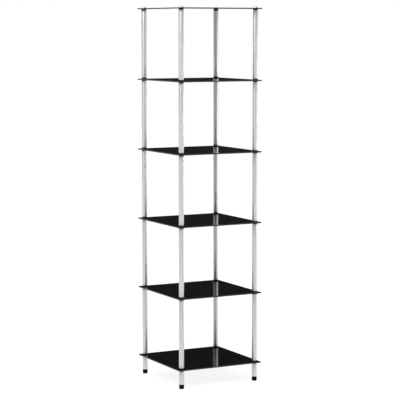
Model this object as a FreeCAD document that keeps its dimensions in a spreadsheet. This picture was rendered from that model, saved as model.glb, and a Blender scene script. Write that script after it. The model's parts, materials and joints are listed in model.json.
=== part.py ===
import FreeCAD, Part
import math
import os

import Sketcher

# Open display tower: square glass shelves on four columns of chromed tubes screwed end to end
# Millimetres, +Z up, +X to the right, front towards -Y, origin on the floor under the middle

# Driving dimensions: alias, size, meaning
SIZES = [
    ("tier_count", 6, "glass shelves, one above the other"),
    ("shelf_width", 400, "glass shelf from left to right"),
    ("shelf_depth", 400, "glass shelf from front to back"),
    ("glass_thickness", 5, "glass shelf"),
    ("glass_corner_radius", 3, "rounding of the four corners of a shelf"),
    ("glass_arris", 0.6, "ground bevel along every edge of the glass"),
    ("post_inset", 22, "edge of the glass to the axis of a column"),
    ("tube_diameter", 22, "outside of legs and uprights"),
    ("tube_wall", 1, "steel of legs and uprights"),
    ("tube_end_round", 0.5, "rolled outer rim at both ends of a tube"),
    ("upright_length", 293, "tube between two shelves"),
    ("leg_length", 57, "tube under the lowest shelf"),
    ("insert_length", 14, "threaded insert in each tube end"),
    ("insert_clearance", 0.05, "insert to tube, all round"),
    ("washer_thickness", 4, "plastic washer on each side of the glass"),
    ("washer_setback", 0.3, "washers and feet inside the outside of the tubes"),
    ("washer_edge_round", 1.2, "outer rims of a washer"),
    ("collar_wall", 1.3, "sleeve of the lower washer, in the hole of the glass"),
    ("collar_clearance", 0.25, "sleeve to glass, all round"),
    ("collar_end_gap", 0.4, "sleeve to the washer above it"),
    ("stud_diameter", 8, "joining studs and foot studs"),
    ("stud_clearance", 0.2, "stud to washers, all round"),
    ("thread_clearance", 0.05, "stud to its threaded hole, all round"),
    ("stud_engagement", 11, "least length of a stud in an insert"),
    ("stud_chamfer", 0.8, "lead-in at the ends of a stud"),
    ("gasket_thickness", 1, "gasket between cap nut and glass"),
    ("cap_diameter", 18, "cap nut on the top shelf"),
    ("cap_rim_height", 1.5, "straight rim of a cap nut"),
    ("cap_dome_height", 5.5, "dome of a cap nut above its rim"),
    ("cap_engagement", 4.5, "length of a stud in a cap nut"),
    ("foot_height", 19, "plastic foot below the tube of a leg"),
    ("foot_edge_round", 1.8, "lower rim of a foot"),
    ("foot_floor", 5, "plastic of a foot under its stud"),
    ("levelling_travel", 8, "how far a foot screws out of its leg"),
]

# Column positions as signs of X and Y
COLUMNS = {
    "front_left": (-1, -1),
    "front_right": (1, -1),
    "back_left": (-1, 1),
    "back_right": (1, 1),
}

# Expressions that several pieces share
POST_X = "(Sizes.shelf_width / 2 - Sizes.post_inset)"
POST_Y = "(Sizes.shelf_depth / 2 - Sizes.post_inset)"
TUBE_RADIUS = "Sizes.tube_diameter / 2"
TUBE_BORE_RADIUS = "(Sizes.tube_diameter / 2 - Sizes.tube_wall)"
PLASTIC_RADIUS = "(Sizes.tube_diameter / 2 - Sizes.washer_setback)"
STUD_RADIUS = "Sizes.stud_diameter / 2"
THREAD_RADIUS = "(Sizes.stud_diameter / 2 + Sizes.thread_clearance)"
WASHER_BORE_RADIUS = "(Sizes.stud_diameter / 2 + Sizes.stud_clearance)"
COLLAR_RADIUS = f"({WASHER_BORE_RADIUS} + Sizes.collar_wall)"
GLASS_HOLE_RADIUS = f"({COLLAR_RADIUS} + Sizes.collar_clearance)"
CAP_RADIUS = "Sizes.cap_diameter / 2"
TIER_PITCH = "(Sizes.upright_length + 2 * Sizes.washer_thickness + Sizes.glass_thickness)"
LOWEST_GLASS = "(Sizes.foot_height + Sizes.leg_length + Sizes.washer_thickness)"

# Heights above the underside of a shelf
WASHER_BOTTOM = "(-Sizes.washer_thickness)"
GLASS_TOP = "Sizes.glass_thickness"
WASHER_TOP = "(Sizes.glass_thickness + Sizes.washer_thickness)"
GASKET_TOP = "(Sizes.glass_thickness + Sizes.gasket_thickness)"

doc = FreeCAD.newDocument("glass_shelf_tower")
sub_parts = []


def make_sheet():
    sheet = doc.addObject("Spreadsheet::Sheet", "Sizes")
    for row, (alias, size, meaning) in enumerate(SIZES, start=1):
        sheet.set(f"A{row}", alias)
        sheet.set(f"B{row}", str(size))
        sheet.setAlias(f"B{row}", alias)
        sheet.set(f"C{row}", meaning)
    doc.recompute()
    return sheet


def shelf_underside(tier):
    """Height of the underside of a shelf above the floor; tier 1 is the lowest."""
    return f"({LOWEST_GLASS} + {tier - 1} * {TIER_PITCH})"


# Bodies and sketches
def new_body(label, x, y, z):
    body = doc.addObject("PartDesign::Body", label)
    body.Label = label
    body.setExpression("Placement.Base.x", x)
    body.setExpression("Placement.Base.y", y)
    body.setExpression("Placement.Base.z", z)
    sub_parts.append(body)
    return body


def body_on_column(label, column, z):
    side, face = COLUMNS[column]
    return new_body(label, f"{side} * {POST_X}", f"{face} * {POST_Y}", z)


def body_on_first_column(label, tier):
    """Body whose pieces are copied to all columns, measured from the underside of a shelf."""
    return body_on_column(label, "front_left", shelf_underside(tier))


def origin_feature(body, role):
    return next(item for item in body.Origin.OriginFeatures if item.Role == role)


def new_sketch(body, plane):
    sketch = body.newObject("Sketcher::SketchObject", f"{body.Name}_outline")
    sketch.AttachmentSupport = (origin_feature(body, plane), [""])
    sketch.MapMode = "FlatFace"
    return sketch


def bind_point(sketch, item, end, x, y):
    """Tie one point of a sketch to two expressions; a point at zero lies on the axis itself."""
    for kind, axis, rule in (("DistanceX", -2, x), ("DistanceY", -1, y)):
        distance = float(sketch.evalExpression(rule))
        if distance == 0:
            sketch.addConstraint(Sketcher.Constraint("PointOnObject", item, end, axis))
        else:
            number = sketch.addConstraint(Sketcher.Constraint(kind, -1, 1, item, end, distance))
            sketch.setExpression(f"Constraints[{number}]", rule)


def dome_arc(rim, apex):
    """Arc from a rim point up to an apex on the turning axis, level at the apex."""
    rise = apex.y - rim.y
    radius = (rim.x ** 2 + rise ** 2) / (2 * rise)
    centre = FreeCAD.Vector(0, apex.y - radius, 0)
    start = math.atan2(rim.y - centre.y, rim.x)
    circle = Part.Circle(centre, FreeCAD.Vector(0, 0, 1), radius)
    return Part.ArcOfCircle(circle, start, math.pi / 2)


def draw_outline(sketch, points, dome=None):
    """Closed outline through pairs of expressions; the side numbered dome is an arc on the axis."""
    corners = [FreeCAD.Vector(*map(sketch.evalExpression, point), 0) for point in points]
    after = [(i + 1) % len(points) for i in range(len(points))]
    for i, corner in enumerate(corners):
        if i == dome:
            sketch.addGeometry(dome_arc(corner, corners[after[i]]))
        else:
            sketch.addGeometry(Part.LineSegment(corner, corners[after[i]]))
    for i, (x, y) in enumerate(points):
        sketch.addConstraint(Sketcher.Constraint("Coincident", i, 2, after[i], 1))
        bind_point(sketch, i, 1, x, y)
    if dome is not None:
        sketch.addConstraint(Sketcher.Constraint("PointOnObject", dome, 3, -2))


def draw_circle(sketch, x, y, radius):
    centre = FreeCAD.Vector(sketch.evalExpression(x), sketch.evalExpression(y), 0)
    size = sketch.evalExpression(radius)
    item = sketch.addGeometry(Part.Circle(centre, FreeCAD.Vector(0, 0, 1), size))
    bind_point(sketch, item, 3, x, y)
    number = sketch.addConstraint(Sketcher.Constraint("Radius", item, size))
    sketch.setExpression(f"Constraints[{number}]", radius)


# Features
def turn(body, points, dome=None):
    sketch = new_sketch(body, "XZ_Plane")
    draw_outline(sketch, points, dome)
    turned = body.newObject("PartDesign::Revolution", f"{body.Name}_turned")
    turned.Profile = sketch
    turned.ReferenceAxis = (sketch, ["V_Axis"])
    turned.Angle = 360
    doc.recompute()
    return turned


def pad(body, sketch, length):
    block = body.newObject("PartDesign::Pad", f"{body.Name}_pad")
    block.Profile = sketch
    block.setExpression("Length", length)
    doc.recompute()
    return block


def dress_edges(body, kind, base, wanted, size_property, size):
    """Fillet or chamfer on the edges of a feature that pass a test."""
    names = [f"Edge{n}" for n, edge in enumerate(base.Shape.Edges, start=1) if wanted(edge)]
    dressed = body.newObject(f"PartDesign::{kind}", f"{body.Name}_{kind.lower()}")
    dressed.Base = (base, names)
    dressed.setExpression(size_property, size)
    body.Tip = dressed
    doc.recompute()
    return dressed


def copy_to_columns(body, features):
    """Repeat the features of the front left column at the other three columns."""
    steps = []
    for axis, distance in (("X_Axis", POST_X), ("Y_Axis", POST_Y)):
        step = body.newObject("PartDesign::LinearPattern", f"{body.Name}_{axis}")
        step.Direction = (origin_feature(body, axis), [""])
        step.Occurrences = 2
        step.setExpression("Length", f"2 * {distance}")
        steps.append(step)
    pattern = body.newObject("PartDesign::MultiTransform", f"{body.Name}_columns")
    pattern.Originals = features
    pattern.Transformations = steps
    body.Tip = pattern
    doc.recompute()
    return pattern


def is_rim(edge, radius):
    """Full circle of about the given radius."""
    return isinstance(edge.Curve, Part.Circle) and math.isclose(edge.Curve.Radius, radius, rel_tol=1e-6)


def is_upright(edge):
    return abs(edge.tangentAt(edge.FirstParameter).z) > 0.5


# Glass shelves
def make_shelf(tier):
    body = new_body(f"glass_shelf_{tier}", "0", "0", shelf_underside(tier))
    half_width = "Sizes.shelf_width / 2"
    half_depth = "Sizes.shelf_depth / 2"
    outline = new_sketch(body, "XY_Plane")
    draw_outline(outline, [
        (f"-{half_width}", f"-{half_depth}"),
        (half_width, f"-{half_depth}"),
        (half_width, half_depth),
        (f"-{half_width}", half_depth),
    ])
    plate = pad(body, outline, "Sizes.glass_thickness")
    rounded = dress_edges(body, "Fillet", plate, is_upright, "Radius", "Sizes.glass_corner_radius")

    drilling = new_sketch(body, "XY_Plane")
    for side, face in COLUMNS.values():
        draw_circle(drilling, f"{side} * {POST_X}", f"{face} * {POST_Y}", GLASS_HOLE_RADIUS)
    holes = body.newObject("PartDesign::Pocket", f"{body.Name}_holes")
    holes.Profile = drilling
    holes.Type = "ThroughAll"
    holes.Reversed = True
    doc.recompute()
    if holes.Shape.Volume >= rounded.Shape.Volume:
        raise RuntimeError(f"{body.Label}: the stud holes cut nothing")
    dress_edges(body, "Chamfer", holes, lambda edge: not is_upright(edge), "Size", "Sizes.glass_arris")


# Chromed tubes
def make_tube(label, column, bottom, length):
    body = body_on_column(label, column, bottom)
    section = new_sketch(body, "XY_Plane")
    draw_circle(section, "0", "0", TUBE_RADIUS)
    draw_circle(section, "0", "0", TUBE_BORE_RADIUS)
    pipe = pad(body, section, length)
    outer = float(body.evalExpression(TUBE_RADIUS))
    rim_round = "min(Sizes.tube_end_round; 0.8 * Sizes.tube_wall)"
    dress_edges(body, "Fillet", pipe, lambda edge: is_rim(edge, outer), "Radius", rim_round)


# Threaded inserts in the tube ends
def insert_outline(bottom):
    outer = f"({TUBE_BORE_RADIUS} - Sizes.insert_clearance)"
    top = f"({bottom} + Sizes.insert_length)"
    return [(THREAD_RADIUS, bottom), (outer, bottom), (outer, top), (THREAD_RADIUS, top)]


def make_inserts(tier, has_tube_above):
    body = body_on_first_column(f"tube_inserts_{tier}", tier)
    pieces = [turn(body, insert_outline(f"({WASHER_BOTTOM} - Sizes.insert_length)"))]
    if has_tube_above:
        pieces.append(turn(body, insert_outline(WASHER_TOP)))
    copy_to_columns(body, pieces)


def make_foot_inserts():
    body = body_on_column("foot_inserts", "front_left", "Sizes.foot_height")
    copy_to_columns(body, [turn(body, insert_outline("0"))])


# Plastic washers on both sides of the glass
def make_washers(tier, has_tube_above):
    body = body_on_first_column(f"shelf_washers_{tier}", tier)
    collar_top = f"({GLASS_TOP} - Sizes.collar_end_gap)"
    lower = turn(body, [
        (WASHER_BORE_RADIUS, WASHER_BOTTOM),
        (PLASTIC_RADIUS, WASHER_BOTTOM),
        (PLASTIC_RADIUS, "0"),
        (COLLAR_RADIUS, "0"),
        (COLLAR_RADIUS, collar_top),
        (WASHER_BORE_RADIUS, collar_top),
    ])
    pieces = [lower]
    if has_tube_above:
        pieces.append(turn(body, [
            (WASHER_BORE_RADIUS, GLASS_TOP),
            (PLASTIC_RADIUS, GLASS_TOP),
            (PLASTIC_RADIUS, WASHER_TOP),
            (WASHER_BORE_RADIUS, WASHER_TOP),
        ]))
    copies = copy_to_columns(body, pieces)
    outer = float(body.evalExpression(PLASTIC_RADIUS))
    rim_round = "min(Sizes.washer_edge_round; 0.4 * Sizes.washer_thickness)"
    dress_edges(body, "Fillet", copies, lambda edge: is_rim(edge, outer), "Radius", rim_round)


# Studs through the glass
def stud_outline(bottom, top):
    tip = f"({STUD_RADIUS} - Sizes.stud_chamfer)"
    return [
        ("0", bottom),
        (tip, bottom),
        (STUD_RADIUS, f"({bottom} + Sizes.stud_chamfer)"),
        (STUD_RADIUS, f"({top} - Sizes.stud_chamfer)"),
        (tip, top),
        ("0", top),
    ]


def make_studs(tier, has_tube_above):
    body = body_on_first_column(f"joining_studs_{tier}", tier)
    bottom = f"({WASHER_BOTTOM} - Sizes.stud_engagement)"
    top = f"({GASKET_TOP} + Sizes.cap_engagement)"
    if has_tube_above:
        top = f"({WASHER_TOP} + Sizes.stud_engagement)"
    copy_to_columns(body, [turn(body, stud_outline(bottom, top))])


# Cap nuts and their gaskets on the top shelf
def make_gaskets(tier):
    body = body_on_first_column("cap_gaskets", tier)
    outer = f"({CAP_RADIUS} - Sizes.washer_setback)"
    copy_to_columns(body, [turn(body, [
        (WASHER_BORE_RADIUS, GLASS_TOP),
        (outer, GLASS_TOP),
        (outer, GASKET_TOP),
        (WASHER_BORE_RADIUS, GASKET_TOP),
    ])])


def make_cap_nuts(tier):
    body = body_on_first_column("cap_nuts", tier)
    rim_top = f"({GASKET_TOP} + Sizes.cap_rim_height)"
    apex = f"({rim_top} + Sizes.cap_dome_height)"
    bore_end = f"({GASKET_TOP} + Sizes.cap_engagement)"
    copy_to_columns(body, [turn(body, [
        (THREAD_RADIUS, GASKET_TOP),
        (CAP_RADIUS, GASKET_TOP),
        (CAP_RADIUS, rim_top),
        ("0", apex),
        ("0", bore_end),
        (THREAD_RADIUS, bore_end),
    ], dome=2)])


# Screw feet
def make_foot(column):
    body = body_on_column(f"foot_{column}", column, "0")
    moulding = turn(body, [
        ("0", "0"),
        (PLASTIC_RADIUS, "0"),
        (PLASTIC_RADIUS, "Sizes.foot_height"),
        (THREAD_RADIUS, "Sizes.foot_height"),
        (THREAD_RADIUS, "Sizes.foot_floor"),
        ("0", "Sizes.foot_floor"),
    ])
    outer = float(body.evalExpression(PLASTIC_RADIUS))

    def is_lower_rim(edge):
        return is_rim(edge, outer) and math.isclose(edge.Curve.Center.z, 0, abs_tol=1e-6)

    dress_edges(body, "Fillet", moulding, is_lower_rim, "Radius", "Sizes.foot_edge_round")


def make_foot_stud(column):
    body = body_on_column(f"foot_stud_{column}", column, "0")
    top = "(Sizes.foot_height + Sizes.levelling_travel + Sizes.stud_engagement)"
    turn(body, stud_outline("Sizes.foot_floor", top))


# Assembly from the floor up
def build():
    sheet = make_sheet()
    top_tier = int(sheet.get("tier_count"))
    for column in COLUMNS:
        make_foot(column)
        make_foot_stud(column)
        make_tube(f"leg_tube_{column}", column, "Sizes.foot_height", "Sizes.leg_length")
    make_foot_inserts()
    for tier in range(1, top_tier + 1):
        has_tube_above = tier < top_tier
        make_shelf(tier)
        make_washers(tier, has_tube_above)
        make_inserts(tier, has_tube_above)
        make_studs(tier, has_tube_above)
        if has_tube_above:
            upright_bottom = f"{shelf_underside(tier)} + {WASHER_TOP}"
            for column in COLUMNS:
                label = f"upright_tube_{tier}_{column}"
                make_tube(label, column, upright_bottom, "Sizes.upright_length")
    make_gaskets(top_tier)
    make_cap_nuts(top_tier)
    doc.recompute()


def check_document():
    for item in doc.Objects:
        if "Invalid" in item.State or "Error" in item.State:
            raise RuntimeError(f"{item.Label} did not compute: {item.State}")
    for piece in sub_parts:
        if piece.Shape.isNull() or not piece.Shape.isValid() or not piece.Shape.Solids:
            raise RuntimeError(f"{piece.Label} has no valid solid")


def write_parts():
    os.makedirs("parts", exist_ok=True)
    for piece in sub_parts:
        piece.Shape.exportStep(f"parts/{piece.Label}.step")


build()
check_document()
write_parts()
print(f"{len(sub_parts)} sub-parts written")
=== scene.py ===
import json
import math
from collections import namedtuple

import bmesh
import bpy
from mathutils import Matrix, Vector

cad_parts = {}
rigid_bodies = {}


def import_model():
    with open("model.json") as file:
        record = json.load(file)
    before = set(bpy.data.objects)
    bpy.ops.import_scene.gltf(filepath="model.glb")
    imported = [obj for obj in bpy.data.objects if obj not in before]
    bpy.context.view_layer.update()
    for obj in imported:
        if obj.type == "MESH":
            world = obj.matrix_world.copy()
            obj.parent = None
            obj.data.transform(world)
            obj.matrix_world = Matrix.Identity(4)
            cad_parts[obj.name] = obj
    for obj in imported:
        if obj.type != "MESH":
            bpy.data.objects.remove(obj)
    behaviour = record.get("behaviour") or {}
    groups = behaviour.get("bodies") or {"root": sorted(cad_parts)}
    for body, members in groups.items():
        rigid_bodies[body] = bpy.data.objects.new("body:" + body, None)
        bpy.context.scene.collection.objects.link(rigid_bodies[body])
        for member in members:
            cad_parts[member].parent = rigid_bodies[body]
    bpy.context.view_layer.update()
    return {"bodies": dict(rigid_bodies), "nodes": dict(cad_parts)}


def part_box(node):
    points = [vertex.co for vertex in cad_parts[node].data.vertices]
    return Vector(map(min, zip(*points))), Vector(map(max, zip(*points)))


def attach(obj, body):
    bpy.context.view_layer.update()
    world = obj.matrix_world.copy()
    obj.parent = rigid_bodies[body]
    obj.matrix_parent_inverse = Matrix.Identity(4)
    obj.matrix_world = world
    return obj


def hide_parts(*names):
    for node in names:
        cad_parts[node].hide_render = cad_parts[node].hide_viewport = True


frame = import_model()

# Sizes in metres that the frame's boxes do not give
MM = 0.001
TUBE_WALL = 1.0 * MM
TUBE_LIP = 0.8 * MM
WASHER_ROUND = 1.2 * MM
WASHER_BORE = 4.2 * MM
COLLAR_RADIUS = 5.5 * MM
COLLAR_END_GAP = 0.4 * MM
PARTING_LINE = 0.15 * MM
CAP_BORE = 4.05 * MM
CAP_BORE_DEPTH = 4.9 * MM
CAP_RIM_HEIGHT = 1.5 * MM
CAP_EDGE = 0.4 * MM
CAP_SHOULDER = 0.3 * MM
FOOT_BASE_ROUND = 1.8 * MM
FOOT_TOP_ROUND = 0.6 * MM
FOOT_GROOVE_DEPTH = 0.35 * MM
FOOT_GROOVE_MOUTH = 0.7 * MM
FOOT_GROOVE_FLOOR = 0.35 * MM
FOOT_GROOVE_DROP = 2.6 * MM
FOOT_RECESS_RADIUS = 7.0 * MM
FOOT_RECESS_DEPTH = 0.6 * MM
STUD_CLEARANCE = 0.05 * MM
STUD_CHAMFER = 0.8 * MM
THREAD_PITCH = 1.25 * MM
THREAD_DEPTH = 0.65 * MM
# Thread form over one pitch: share of the pitch, and share of the thread's depth cut away
THREAD_FORM = ((0.0, 1.0), (0.25, 1.0), (0.5625, 0.0), (0.6875, 0.0))

# Fineness of the meshes
TUBE_SIDES = 72
RING_SIDES = 56
THREAD_SIDES = 20
ARC_STEPS = 5
CAP_EDGE_STEPS = 3
DOME_STEPS = 12
SHARP_ANGLE = math.radians(32)
MERGE_DISTANCE = 0.0005 * MM

# Directions in the outline of a turned piece, in degrees
DOWN = -90
OUT = 0
UP = 90

# What the names of the frame's nodes are made of
COLUMNS = ("front_left", "front_right", "back_left", "back_right")
TIERS = range(1, 7)
TOP_TIER = max(TIERS)

# Noise: scales count blobs to the metre, and most values lie between low and high
NOISE_ROUGHNESS = 0.55
NOISE_LOW = 0.3
NOISE_HIGH = 0.7
PLAIN_DETAIL = 3.0
PATCH_DETAIL = 4.0
WIPE_DETAIL = 5.0
GRAIN_DETAIL = 2.0
UNSTRETCHED = (1.0, 1.0, 1.0)

# Chrome: drawn scales the polishing lines along the piece, and the last key is the share of the height
# at each end that is coloured darker in specks
CHROME_DULL = (0.69, 0.70, 0.71, 1.0)
CHROME_BRIGHT = (0.74, 0.74, 0.74, 1.0)
CHROME_DARKER_END = (0.50, 0.50, 0.49, 1.0)
TUBE_CHROME = {"roughness": (0.47, 0.54), "drawn": 0.02, "darker_end_share": 0.02}
CAP_CHROME = {"roughness": (0.36, 0.44), "drawn": 0.2, "darker_end_share": 0.12}
POLISH_LINES = 900.0
LINE_HAZE = (0.85, 1.15)
HAND_MARKS = 45.0
SPECK_SCALE = 700.0
END_SPECK_STRENGTH = (0.2, 1.0)
HALF_HEIGHT = 0.5

# Bumps: strength and distance
CHROME_BUMP = (0.06, 0.02 * MM)
MOULD_BUMP = (0.25, 0.05 * MM)
ZINC_BUMP = (0.15, 0.03 * MM)

# Glass, whose edges are where the upward part of the normal is small
GLASS_FACE = (0.004, 0.004, 0.005, 1.0)
GLASS_EDGE = (0.010, 0.012, 0.012, 1.0)
GLASS_IOR = 1.52
EDGE_UPWARD = 0.90
FACE_UPWARD = 0.98
WIPE_MARKS = 26.0
WIPE_STRETCH = (1.0, 0.25, 1.0)
WIPED_ROUGHNESS = (0.010, 0.035)
EDGE_GRINDING = 2600.0
GRIND_STRETCH = (1.0, 1.0, 0.2)
GROUND_ROUGHNESS = (0.10, 0.20)

# Moulded finishes: grain is a noise scale, and scuffed_share is worn at the lower edge
NYLON = {
    "dark": (0.005, 0.005, 0.006, 1.0),
    "light": (0.012, 0.012, 0.013, 1.0),
    "roughness": (0.38, 0.55),
    "gloss": 0.25,
    "grain": 2200.0,
    "scuffed_share": 0.05,
}
RUBBER = {
    "dark": (0.010, 0.010, 0.010, 1.0),
    "light": (0.022, 0.022, 0.022, 1.0),
    "roughness": (0.70, 0.88),
    "gloss": 0.30,
    "grain": 3200.0,
    "scuffed_share": 0.05,
}
FOOT_PLASTIC = {
    "dark": (0.003, 0.003, 0.004, 1.0),
    "light": (0.007, 0.007, 0.008, 1.0),
    "roughness": (0.45, 0.60),
    "gloss": 0.05,
    "grain": 1800.0,
    "scuffed_share": 0.16,
}
SCUFFED = (0.040, 0.040, 0.038, 1.0)
MOULD_PATCHES = 160.0

# Zinc
ZINC_BLUE = (0.46, 0.48, 0.52, 1.0)
ZINC_YELLOW = (0.66, 0.66, 0.62, 1.0)
ZINC_ROUGHNESS = (0.28, 0.46)
ZINC_CLOUDS = 220.0
ZINC_GRAIN = 2400.0

# Places of sockets whose names repeat, first on nodes with two like inputs, then on a mix node
FIRST_INPUT = 0
SECOND_INPUT = 1
MIX_FACTOR = 0
VALUE_A = 2
VALUE_B = 3
COLOUR_A = 6
COLOUR_B = 7
MIXED_VALUE = 0
MIXED_COLOUR = 2

# Camera, fitted to the tips of the shelves and the feet
CAMERA_AZIMUTH = math.radians(-27.70)
CAMERA_YAW = math.radians(-0.03)
CAMERA_PITCH = math.radians(6.06)
CAMERA_DISTANCE = 7.020
CAMERA_HEIGHT = 1.529
CAMERA_LENS = 145.7
CAMERA_SENSOR = 36.0

# Studio
FLOOR_SIZE = 60.0
FLOOR_GLOW = 0.88
FLOOR_COLOUR = (0.30, 0.30, 0.30, 1.0)
WHITE = (1.0, 1.0, 1.0, 1.0)
BACKDROP_GLOW = 1.0
AMBIENT = 0.45
# What metal and glass mirror, as (sine of the height above the horizon, tone)
STUDIO_TONES = (
    (-1.0, 1.0),
    (-0.005, 1.0),
    (0.015, 0.02),
    (0.21, 0.02),
    (0.36, 0.14),
    (0.55, 0.36),
    (0.75, 1.0),
)
# Each lamp lights either the sheen of the metal or the matt surfaces
Lamp = namedtuple("Lamp", "name place width watts for_sheen glass_shades")
LAMPS = (
    Lamp(
        "key_lamp", place=(-2.4, -2.8, 4.2), width=2.6, watts=110.0,
        for_sheen=False, glass_shades=True,
    ),
    Lamp(
        "back_lamp", place=(0.6, 3.6, 4.4), width=2.6, watts=45.0,
        for_sheen=False, glass_shades=True,
    ),
    Lamp(
        "left_sheen_lamp", place=(-3.5, -1.6, 4.0), width=1.5, watts=155.0,
        for_sheen=True, glass_shades=True,
    ),
    Lamp(
        "right_sheen_lamp", place=(3.5, -1.55, 1.0), width=0.8, watts=28.0,
        for_sheen=True, glass_shades=False,
    ),
)
LAMP_TARGET = Vector((0.0, 0.0, 0.8))


# Shader nodes

def set_inputs(tree, node, inputs):
    """Link or set a node's inputs."""
    for name, value in inputs.items():
        if isinstance(value, bpy.types.NodeSocket):
            tree.links.new(value, node.inputs[name])
        else:
            node.inputs[name].default_value = value


def add_node(tree, kind, inputs=None, **settings):
    """Add a shader node, with its settings, and link or set its inputs."""
    made = tree.nodes.new(kind)
    for name, value in settings.items():
        setattr(made, name, value)
    set_inputs(tree, made, inputs or {})
    return made


def empty_tree(owner):
    """The cleared node tree of a material or world."""
    owner.use_nodes = True
    owner.node_tree.nodes.clear()
    return owner.node_tree


def new_material(name):
    """A material with nothing but its principled shader, linked to the output."""
    material = bpy.data.materials.new(name)
    tree = empty_tree(material)
    shader = add_node(tree, "ShaderNodeBsdfPrincipled")
    add_node(tree, "ShaderNodeOutputMaterial", {"Surface": shader.outputs["BSDF"]})
    return material, tree, shader


def noise(tree, scale, detail=PLAIN_DETAIL, stretch=UNSTRETCHED):
    """Smooth noise whose scale counts blobs to the metre, stretched along the piece's axes."""
    place = add_node(tree, "ShaderNodeTexCoord")
    mapping = add_node(tree, "ShaderNodeMapping", {
        "Vector": place.outputs["Object"],
        "Scale": stretch,
    })
    made = add_node(tree, "ShaderNodeTexNoise", {
        "Vector": mapping.outputs["Vector"],
        "Scale": scale,
        "Detail": detail,
        "Roughness": NOISE_ROUGHNESS,
    })
    return made.outputs["Fac"]


def spread(tree, value, low, high, start=NOISE_LOW, end=NOISE_HIGH):
    """Map a value between start and end, such as noise, onto low to high."""
    made = add_node(tree, "ShaderNodeMapRange", {
        "Value": value,
        "From Min": start,
        "From Max": end,
        "To Min": low,
        "To Max": high,
    })
    return made.outputs["Result"]


def mix_colours(tree, factor, first, second):
    """Blend two colours by a factor."""
    inputs = {MIX_FACTOR: factor, COLOUR_A: first, COLOUR_B: second}
    made = add_node(tree, "ShaderNodeMix", inputs, data_type="RGBA")
    return made.outputs[MIXED_COLOUR]


def mix_values(tree, factor, first, second):
    """Blend two numbers by a factor."""
    inputs = {MIX_FACTOR: factor, VALUE_A: first, VALUE_B: second}
    made = add_node(tree, "ShaderNodeMix", inputs)
    return made.outputs[MIXED_VALUE]


def combine(tree, operation, first, second=0.0):
    """One step of arithmetic on one value or two."""
    inputs = {FIRST_INPUT: first, SECOND_INPUT: second}
    made = add_node(tree, "ShaderNodeMath", inputs, operation=operation)
    return made.outputs["Value"]


def bump(tree, height, strength, distance):
    """The surface's normal, raised a little by a height."""
    made = add_node(tree, "ShaderNodeBump", {
        "Height": height,
        "Strength": strength,
        "Distance": distance,
    })
    return made.outputs["Normal"]


def upward_part(tree, vector):
    """The vertical part of a vector."""
    return add_node(tree, "ShaderNodeSeparateXYZ", {"Vector": vector}).outputs["Z"]


def height_share(tree):
    """Height on the piece, from zero at its lowest point to one at its highest."""
    return upward_part(tree, add_node(tree, "ShaderNodeTexCoord").outputs["Generated"])


def ray_kinds(tree):
    """Two values, one or zero: whether the camera looks, and whether metal or glass does."""
    rays = add_node(tree, "ShaderNodeLightPath").outputs
    mirrored = combine(tree, "MAXIMUM", rays["Is Glossy Ray"], rays["Is Transmission Ray"])
    return rays["Is Camera Ray"], mirrored


# Finishes

def chrome_material(name, roughness, drawn, darker_end_share):
    """Satin chrome with faint lines along the piece, soft hand marks, and a speckled darker colour
    towards each end.
    """
    material, tree, shader = new_material(name)
    lines = noise(tree, POLISH_LINES, stretch=(1.0, 1.0, drawn))
    marks = noise(tree, HAND_MARKS, PATCH_DETAIL)
    # The colour turns darker in specks over a share of the height at each end of the piece
    above_middle = combine(tree, "SUBTRACT", height_share(tree), HALF_HEIGHT)
    from_middle = combine(tree, "ABSOLUTE", above_middle)
    near_end = spread(tree, from_middle, 0.0, 1.0, start=HALF_HEIGHT - darker_end_share, end=HALF_HEIGHT)
    specks = spread(tree, noise(tree, SPECK_SCALE), *END_SPECK_STRENGTH)
    darker_end = combine(tree, "MULTIPLY", near_end, specks)
    plate = mix_colours(tree, marks, CHROME_DULL, CHROME_BRIGHT)
    haze = spread(tree, marks, *roughness)
    set_inputs(tree, shader, {
        "Metallic": 1.0,
        "Base Color": mix_colours(tree, darker_end, plate, CHROME_DARKER_END),
        "Roughness": combine(tree, "MULTIPLY", haze, spread(tree, lines, *LINE_HAZE)),
        "Normal": bump(tree, lines, *CHROME_BUMP),
    })
    return material


def black_glass_material():
    """Polished black glass with faint wipe marks, and finely ground edges."""
    material, tree, shader = new_material("black_glass_polished")
    upward = upward_part(tree, add_node(tree, "ShaderNodeNewGeometry").outputs["Normal"])
    flatness = combine(tree, "ABSOLUTE", upward)
    edge = spread(tree, flatness, 1.0, 0.0, start=EDGE_UPWARD, end=FACE_UPWARD)
    wipes = spread(tree, noise(tree, WIPE_MARKS, WIPE_DETAIL, WIPE_STRETCH), *WIPED_ROUGHNESS)
    grinding = spread(tree, noise(tree, EDGE_GRINDING, stretch=GRIND_STRETCH), *GROUND_ROUGHNESS)
    set_inputs(tree, shader, {
        "IOR": GLASS_IOR,
        "Base Color": mix_colours(tree, edge, GLASS_FACE, GLASS_EDGE),
        "Roughness": mix_values(tree, edge, wipes, grinding),
    })
    return material


def moulded_material(name, dark, light, roughness, gloss, grain, scuffed_share):
    """Moulded black plastic or rubber with a fine grain, uneven sheen and a scuffed lower edge."""
    material, tree, shader = new_material(name)
    patches = noise(tree, MOULD_PATCHES, PATCH_DETAIL)
    low_edge = spread(tree, height_share(tree), 1.0, 0.0, start=0.0, end=scuffed_share)
    specks = spread(tree, noise(tree, SPECK_SCALE), 0.0, 1.0)
    scuffed = combine(tree, "MULTIPLY", low_edge, specks)
    set_inputs(tree, shader, {
        "Specular IOR Level": gloss,
        "Base Color": mix_colours(tree, scuffed, mix_colours(tree, patches, dark, light), SCUFFED),
        "Roughness": spread(tree, patches, *roughness),
        "Normal": bump(tree, noise(tree, grain, GRAIN_DETAIL), *MOULD_BUMP),
    })
    return material


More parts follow.
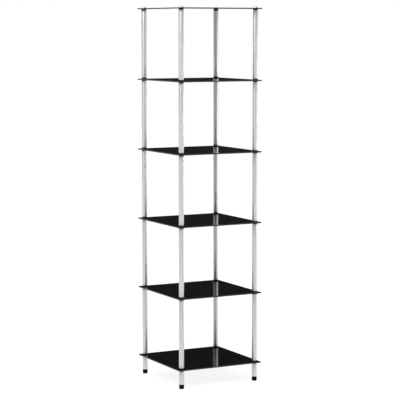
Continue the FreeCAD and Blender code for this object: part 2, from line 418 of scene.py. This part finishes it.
def zinc_material():
    """Zinc plated steel, cloudy and slightly uneven."""
    material, tree, shader = new_material("zinc_plated_steel")
    clouds = noise(tree, ZINC_CLOUDS, PATCH_DETAIL)
    set_inputs(tree, shader, {
        "Metallic": 1.0,
        "Base Color": mix_colours(tree, clouds, ZINC_BLUE, ZINC_YELLOW),
        "Roughness": spread(tree, clouds, *ZINC_ROUGHNESS),
        "Normal": bump(tree, noise(tree, ZINC_GRAIN), *ZINC_BUMP),
    })
    return material


# Helpers for the pieces

def arc(centre, radius, start, end, steps=ARC_STEPS):
    """Points of an arc in the outline's plane, by angles in degrees."""
    points = []
    for step in range(steps + 1):
        angle = math.radians(start + (end - start) * step / steps)
        points.append((centre[0] + radius * math.cos(angle), centre[1] + radius * math.sin(angle)))
    return points


def around(axis, radius, angle, height):
    """The point at a radius and an angle round an upright axis."""
    return (axis[0] + radius * math.cos(angle), axis[1] + radius * math.sin(angle), height)


def lathe(build, outline, axis, sides):
    """Turn a closed outline of (radius, height) points about an upright axis."""
    rings = []
    for radius, height in outline:
        if radius == 0.0:
            rings.append([build.verts.new((axis[0], axis[1], height))] * sides)
            continue
        angles = [math.tau * side / sides for side in range(sides)]
        rings.append([build.verts.new(around(axis, radius, angle, height)) for angle in angles])
    for lower, upper in zip(rings, rings[1:] + rings[:1]):
        for side in range(sides):
            after = (side + 1) % sides
            corners = dict.fromkeys((lower[side], lower[after], upper[after], upper[side]))
            # A face that meets the axis has three corners, and along the axis there is none
            if len(corners) > 2:
                build.faces.new(corners)


def add_piece(name, build, material, body, slot, *nodes):
    """Make a piece of the finished mesh, which rides on a body and stands for CAD nodes."""
    bmesh.ops.recalc_face_normals(build, faces=build.faces)
    mesh = bpy.data.meshes.new(name)
    build.to_mesh(mesh)
    build.free()
    mesh.shade_smooth()
    mesh.set_sharp_from_angle(angle=SHARP_ANGLE)
    mesh.materials.append(material)
    piece = bpy.data.objects.new(name, mesh)
    bpy.context.scene.collection.objects.link(piece)
    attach(piece, body)
    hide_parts(*nodes)


def box_axis(low, high):
    """The upright line through the middle of a box."""
    return ((low.x + high.x) / 2, (low.y + high.y) / 2)


def column_axis(column):
    """The upright line through a column, from its leg tube."""
    low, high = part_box(f"leg_tube_{column}")
    return box_axis(low, high)


def reach(low, high, axis):
    """Radius of the round pieces in a node's box, which stand on this axis or its mirror images."""
    return max(abs(low.x), abs(high.x)) - abs(axis[0])


def foot_body(column):
    """Name of the body that carries a column's foot."""
    return f"levelling_foot_{column}"


# Pieces of the tower

def make_tube(node, material):
    """A chromed tube with rolled lips."""
    low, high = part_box(node)
    outer = (high.x - low.x) / 2
    inner = outer - TUBE_WALL
    corner = outer - TUBE_LIP
    outline = arc((corner, low.z + TUBE_LIP), TUBE_LIP, DOWN, OUT)
    outline += arc((corner, high.z - TUBE_LIP), TUBE_LIP, OUT, UP)
    outline += [(inner, high.z), (inner, low.z)]
    build = bmesh.new()
    lathe(build, outline, box_axis(low, high), TUBE_SIDES)
    add_piece(f"{node}_chromed", build, material, "tower", "chromed_tube", node)


def washer_outline(outer, bottom, top):
    """The outer side of a washer, rounded, with its parting line, from bottom to top."""
    middle = (bottom + top) / 2
    corner = outer - WASHER_ROUND
    points = arc((corner, bottom + WASHER_ROUND), WASHER_ROUND, DOWN, OUT)
    points += [(outer - PARTING_LINE, middle)]
    points += arc((corner, top - WASHER_ROUND), WASHER_ROUND, OUT, UP)
    return points


def make_washers(tier, material):
    """The washers under and over one shelf, at all four columns."""
    node = f"shelf_washers_{tier}"
    low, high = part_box(node)
    glass_low, glass_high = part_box(f"glass_shelf_{tier}")
    collar_top = glass_high.z - COLLAR_END_GAP
    build = bmesh.new()
    for column in COLUMNS:
        axis = column_axis(column)
        outer = reach(low, high, axis)
        under = washer_outline(outer, low.z, glass_low.z)
        under += [(COLLAR_RADIUS, glass_low.z), (COLLAR_RADIUS, collar_top)]
        under += [(WASHER_BORE, collar_top), (WASHER_BORE, low.z)]
        lathe(build, under, axis, RING_SIDES)
        if tier < TOP_TIER:
            over = washer_outline(outer, glass_high.z, high.z)
            over += [(WASHER_BORE, high.z), (WASHER_BORE, glass_high.z)]
            lathe(build, over, axis, RING_SIDES)
    add_piece(f"washers_tier_{tier}", build, material, "tower", "black_nylon", node)


def cap_outline(outer, bottom, top):
    """A low dome on a straight rim, with a blind bore from below."""
    rim_top = bottom + CAP_RIM_HEIGHT
    dome_foot = outer - CAP_SHOULDER
    rise = top - rim_top
    # The dome is part of a sphere through its foot and its top
    dome_radius = (dome_foot ** 2 + rise ** 2) / (2 * rise)
    start = math.degrees(math.asin((rise - dome_radius) / dome_radius))
    dome = arc((0.0, top - dome_radius), dome_radius, start, UP, DOME_STEPS)
    bore_end = bottom + CAP_BORE_DEPTH
    outline = [(0.0, bore_end), (CAP_BORE, bore_end), (CAP_BORE, bottom)]
    outline += arc((outer - CAP_EDGE, bottom + CAP_EDGE), CAP_EDGE, DOWN, OUT, CAP_EDGE_STEPS)
    outline += [(outer, rim_top - CAP_SHOULDER)]
    outline += dome[:-1] + [(0.0, top)]
    return outline


def make_caps(material):
    """Domed cap nuts over the top shelf."""
    low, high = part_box("cap_nuts")
    build = bmesh.new()
    for column in COLUMNS:
        axis = column_axis(column)
        lathe(build, cap_outline(reach(low, high, axis), low.z, high.z), axis, RING_SIDES)
    add_piece("dome_caps", build, material, "tower", "chromed_cap", "cap_nuts")


def make_foot(column, material):
    """A moulded levelling foot with a shadow groove and a hollow sole."""
    node = f"foot_{column}"
    low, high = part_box(node)
    stud_low, stud_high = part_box(f"foot_stud_{column}")
    outer = (high.x - low.x) / 2
    bore = (stud_high.x - stud_low.x) / 2 + STUD_CLEARANCE
    sole = low.z + FOOT_RECESS_DEPTH
    groove = high.z - FOOT_GROOVE_DROP
    groove_radius = outer - FOOT_GROOVE_DEPTH
    outline = [(0.0, sole), (FOOT_RECESS_RADIUS - FOOT_RECESS_DEPTH, sole), (FOOT_RECESS_RADIUS, low.z)]
    outline += arc((outer - FOOT_BASE_ROUND, low.z + FOOT_BASE_ROUND), FOOT_BASE_ROUND, DOWN, OUT)
    outline += [(outer, groove - FOOT_GROOVE_MOUTH / 2), (groove_radius, groove - FOOT_GROOVE_FLOOR / 2)]
    outline += [(groove_radius, groove + FOOT_GROOVE_FLOOR / 2), (outer, groove + FOOT_GROOVE_MOUTH / 2)]
    outline += arc((outer - FOOT_TOP_ROUND, high.z - FOOT_TOP_ROUND), FOOT_TOP_ROUND, OUT, UP)
    outline += [(bore, high.z), (bore, stud_low.z), (0.0, stud_low.z)]
    build = bmesh.new()
    lathe(build, outline, column_axis(column), RING_SIDES)
    add_piece(f"foot_moulded_{column}", build, material, foot_body(column), "foot_plastic", node)


def thread_points(low, high, radius, share):
    """Points of (radius, height) up a threaded rod, where the helix has made a share of a turn."""
    tip_radius = radius - STUD_CHAMFER
    turns = math.ceil((high - low) / THREAD_PITCH)
    points = [(tip_radius, low)]
    # The helix starts below the rod and ends above it, and is cut off at both tips
    for turn in range(-1, turns + 2):
        for place, cut in THREAD_FORM:
            height = low + (turn + place + share) * THREAD_PITCH
            crest = radius - cut * THREAD_DEPTH
            taper = tip_radius + min(height - low, high - height)
            if low < height < high:
                points.append((min(crest, taper), height))
            else:
                points.append((tip_radius, low if height <= low else high))
    points.append((tip_radius, high))
    return points


def thread(build, axis, low, high, radius):
    """A rod with a helical thread, whose rows of points follow the helix."""
    lines = []
    for side in range(THREAD_SIDES + 1):
        share = side / THREAD_SIDES
        points = thread_points(low, high, radius, share)
        lines.append([build.verts.new(around(axis, r, math.tau * share, z)) for r, z in points])
    for left, right in zip(lines, lines[1:]):
        for row in range(len(left) - 1):
            build.faces.new((left[row], right[row], right[row + 1], left[row + 1]))
    bmesh.ops.remove_doubles(build, verts=build.verts, dist=MERGE_DISTANCE)
    bmesh.ops.dissolve_degenerate(build, edges=build.edges, dist=MERGE_DISTANCE)
    bmesh.ops.holes_fill(build, edges=build.edges, sides=THREAD_SIDES)


def make_studs(name, node, body, columns, material):
    """Threaded rods of one node, at the given columns."""
    low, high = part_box(node)
    build = bmesh.new()
    for column in columns:
        axis = column_axis(column)
        rod = bmesh.new()
        thread(rod, axis, low.z, high.z, reach(low, high, axis))
        rod_mesh = bpy.data.meshes.new("rod")
        rod.to_mesh(rod_mesh)
        rod.free()
        build.from_mesh(rod_mesh)
        bpy.data.meshes.remove(rod_mesh)
    add_piece(name, build, material, body, "zinc_steel", node)


def dress_node(node, material):
    """Give a carried-over CAD node its finish."""
    for slot in frame["nodes"][node].material_slots:
        slot.material = material


def make_object():
    """All pieces of the tower with their finishes."""
    tube_chrome = chrome_material("chromed_tube_satin", **TUBE_CHROME)
    cap_chrome = chrome_material("chromed_cap_satin", **CAP_CHROME)
    glass = black_glass_material()
    nylon = moulded_material("moulded_nylon", **NYLON)
    rubber = moulded_material("soft_rubber", **RUBBER)
    plastic = moulded_material("foot_mould", **FOOT_PLASTIC)
    zinc = zinc_material()

    for column in COLUMNS:
        make_tube(f"leg_tube_{column}", tube_chrome)
        for tier in range(1, TOP_TIER):
            make_tube(f"upright_tube_{tier}_{column}", tube_chrome)
        make_foot(column, plastic)
        make_studs(f"foot_thread_{column}", f"foot_stud_{column}", foot_body(column), [column], zinc)
    for tier in TIERS:
        make_washers(tier, nylon)
        make_studs(f"joining_threads_{tier}", f"joining_studs_{tier}", "tower", COLUMNS, zinc)
        dress_node(f"glass_shelf_{tier}", glass)
        dress_node(f"tube_inserts_{tier}", zinc)
    make_caps(cap_chrome)
    dress_node("foot_inserts", zinc)
    dress_node("cap_gaskets", rubber)


# Studio, lamps and camera

def floor_material():
    """A matt floor with a glow that only the camera, metal and glass see."""
    material = bpy.data.materials.new("pale_floor")
    tree = empty_tree(material)
    camera_ray, mirrored = ray_kinds(tree)
    seen = combine(tree, "MAXIMUM", camera_ray, mirrored)
    glow = add_node(tree, "ShaderNodeEmission", {
        "Strength": combine(tree, "MULTIPLY", seen, FLOOR_GLOW),
    })
    matt = add_node(tree, "ShaderNodeBsdfDiffuse", {"Color": FLOOR_COLOUR})
    both = add_node(tree, "ShaderNodeAddShader", {
        FIRST_INPUT: glow.outputs["Emission"],
        SECOND_INPUT: matt.outputs["BSDF"],
    })
    add_node(tree, "ShaderNodeOutputMaterial", {"Surface": both.outputs["Shader"]})
    return material


def make_floor():
    """A wide pale floor that keeps the object's soft shadow and lies under the lowest foot."""
    build = bmesh.new()
    bmesh.ops.create_grid(build, x_segments=1, y_segments=1, size=FLOOR_SIZE / 2)
    mesh = bpy.data.meshes.new("studio_floor")
    build.to_mesh(mesh)
    build.free()
    mesh.materials.append(floor_material())
    floor = bpy.data.objects.new("studio_floor", mesh)
    bpy.context.scene.collection.objects.link(floor)
    for column in COLUMNS:
        under_foot = floor.constraints.new("FLOOR")
        under_foot.target = frame["bodies"][foot_body(column)]
        under_foot.floor_location = "FLOOR_NEGATIVE_Z"


def studio_tone(tree):
    """The tone that metal and glass mirror, by the height of the mirrored direction."""
    direction = add_node(tree, "ShaderNodeTexCoord").outputs["Generated"]
    place = spread(tree, upward_part(tree, direction), 0.0, 1.0, start=-1.0, end=1.0)
    ramp = add_node(tree, "ShaderNodeValToRGB", {"Fac": place})
    stops = ramp.color_ramp.elements
    while len(stops) < len(STUDIO_TONES):
        stops.new(1.0)
    for stop, (sine, tone) in zip(stops, STUDIO_TONES):
        stop.position = (1.0 + sine) / 2
        stop.color = (tone, tone, tone, 1.0)
    return add_node(tree, "ShaderNodeSeparateColor", {"Color": ramp.outputs["Color"]}).outputs["Red"]


def make_world():
    """White behind the object, even soft light, and the tones that metal and glass mirror."""
    world = bpy.data.worlds.new("studio")
    bpy.context.scene.world = world
    tree = empty_tree(world)
    camera_ray, mirrored = ray_kinds(tree)
    lit = mix_values(tree, mirrored, AMBIENT, studio_tone(tree))
    background = add_node(tree, "ShaderNodeBackground", {
        "Color": WHITE,
        "Strength": mix_values(tree, camera_ray, lit, BACKDROP_GLOW),
    })
    add_node(tree, "ShaderNodeOutputWorld", {"Surface": background.outputs["Background"]})


def link_all_but_glass():
    """A collection for light linking, from which the glass shelves are left out."""
    all_but_glass = bpy.data.collections.new("all_but_glass")
    for tier in TIERS:
        all_but_glass.objects.link(frame["nodes"][f"glass_shelf_{tier}"])
    for shelf in all_but_glass.collection_objects:
        shelf.light_linking.link_state = "EXCLUDE"
    return all_but_glass


def aim(item, direction):
    """Turn a lamp or camera to face a direction, upright."""
    item.rotation_euler = direction.to_track_quat("-Z", "Y").to_euler()


def make_lamps():
    """Soft lamps aimed at the middle of the tower, of which those for sheen pass the glass by."""
    all_but_glass = link_all_but_glass()
    for plan in LAMPS:
        light = bpy.data.lights.new(plan.name, "AREA")
        light.size = plan.width
        light.energy = plan.watts
        lamp = bpy.data.objects.new(plan.name, light)
        lamp.location = plan.place
        aim(lamp, LAMP_TARGET - Vector(plan.place))
        lamp.visible_camera = False
        lamp.visible_glossy = plan.for_sheen
        lamp.visible_diffuse = not plan.for_sheen
        if plan.for_sheen:
            lamp.light_linking.receiver_collection = all_but_glass
        if not plan.glass_shades:
            lamp.light_linking.blocker_collection = all_but_glass
        bpy.context.scene.collection.objects.link(lamp)


def make_camera():
    """The photograph's viewpoint."""
    lens = bpy.data.cameras.new("camera")
    lens.sensor_width = CAMERA_SENSOR
    lens.lens = CAMERA_LENS
    camera = bpy.data.objects.new("camera", lens)
    camera.location = (
        CAMERA_DISTANCE * math.sin(CAMERA_AZIMUTH),
        -CAMERA_DISTANCE * math.cos(CAMERA_AZIMUTH),
        CAMERA_HEIGHT,
    )
    look = CAMERA_AZIMUTH + CAMERA_YAW
    aim(camera, Vector((-math.sin(look), math.cos(look), -math.tan(CAMERA_PITCH))))
    bpy.context.scene.collection.objects.link(camera)
    bpy.context.scene.camera = camera


make_object()
make_floor()
make_world()
make_lamps()
make_camera()
bpy.context.scene.view_settings.view_transform = "Standard"
